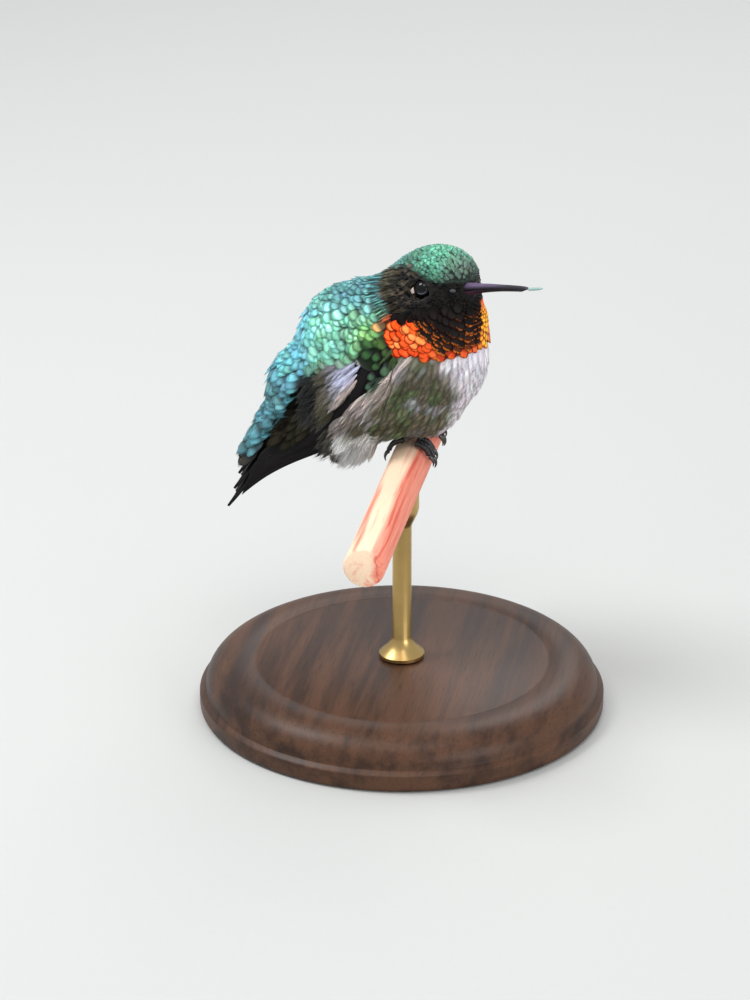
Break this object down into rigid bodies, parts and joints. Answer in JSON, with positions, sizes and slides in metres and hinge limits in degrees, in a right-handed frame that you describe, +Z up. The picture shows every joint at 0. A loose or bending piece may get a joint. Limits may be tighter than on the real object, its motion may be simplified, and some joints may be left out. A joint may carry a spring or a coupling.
{
  "type": "hummingbird",
  "caption": "Male ruby-throated hummingbird, life size, fluffed and perched on a short dowel with its head turned, on a round display stand.",
  "frame": {"origin": "centre of the underside of the round stand base, which lies under the middle of the dowel", "axes": "+Z is up; the bird's body faces +X; its left side is towards +Y; the dowel lies along Y"},
  "size_m": [0.064, 0.068, 0.0728],
  "materials": {
    "iridescent_plumage": "soft iridescent green and turquoise feathers",
    "gorget": "scaly orange-red throat feathers with a black centre",
    "grey_plumage": "soft grey-white down with olive spots",
    "flight_feathers": "smooth black-brown flight feathers",
    "bill_horn": "black horn with a soft sheen",
    "eye": "glossy black",
    "tongue": "pale and moist",
    "foot_skin": "black scaly skin",
    "claw_horn": "black polished horn",
    "perch_wood": "salmon-coloured dowel",
    "stand_wood": "dark stained and oiled",
    "stand_metal": "satin brass"
  },
  "bodies": {
    "root": {"back": "iridescent_plumage", "belly": "grey_plumage", "bill_lower": "bill_horn", "bill_upper": "bill_horn", "breast": "grey_plumage", "claw_left_hind": "claw_horn", "claw_left_inner": "claw_horn", "claw_left_middle": "claw_horn", "claw_left_outer": "claw_horn", "claw_right_hind": "claw_horn", "claw_right_inner": "claw_horn", "claw_right_middle": "claw_horn", "claw_right_outer": "claw_horn", "eye_left": "eye", "eye_right": "eye", "head": "iridescent_plumage", "leg_left": "foot_skin", "leg_right": "foot_skin", "neck": "iridescent_plumage", "perch": "perch_wood", "rump": "iridescent_plumage", "stand_base": "stand_wood", "stand_rod": "stand_metal", "tail_feather_left_1": "flight_feathers", "tail_feather_left_2": "flight_feathers", "tail_feather_left_3": "flight_feathers", "tail_feather_left_4": "flight_feathers", "tail_feather_left_5": "flight_feathers", "tail_feather_right_1": "flight_feathers", "tail_feather_right_2": "flight_feathers", "tail_feather_right_3": "flight_feathers", "tail_feather_right_4": "flight_feathers", "tail_feather_right_5": "flight_feathers", "throat": "gorget", "toe_left_hind": "foot_skin", "toe_left_inner": "foot_skin", "toe_left_middle": "foot_skin", "toe_left_outer": "foot_skin", "toe_right_hind": "foot_skin", "toe_right_inner": "foot_skin", "toe_right_middle": "foot_skin", "toe_right_outer": "foot_skin", "tongue": "tongue", "wing_left_arm": "iridescent_plumage", "wing_left_primaries": "flight_feathers", "wing_right_arm": "iridescent_plumage", "wing_right_primaries": "flight_feathers"}
  },
  "joints": []
}
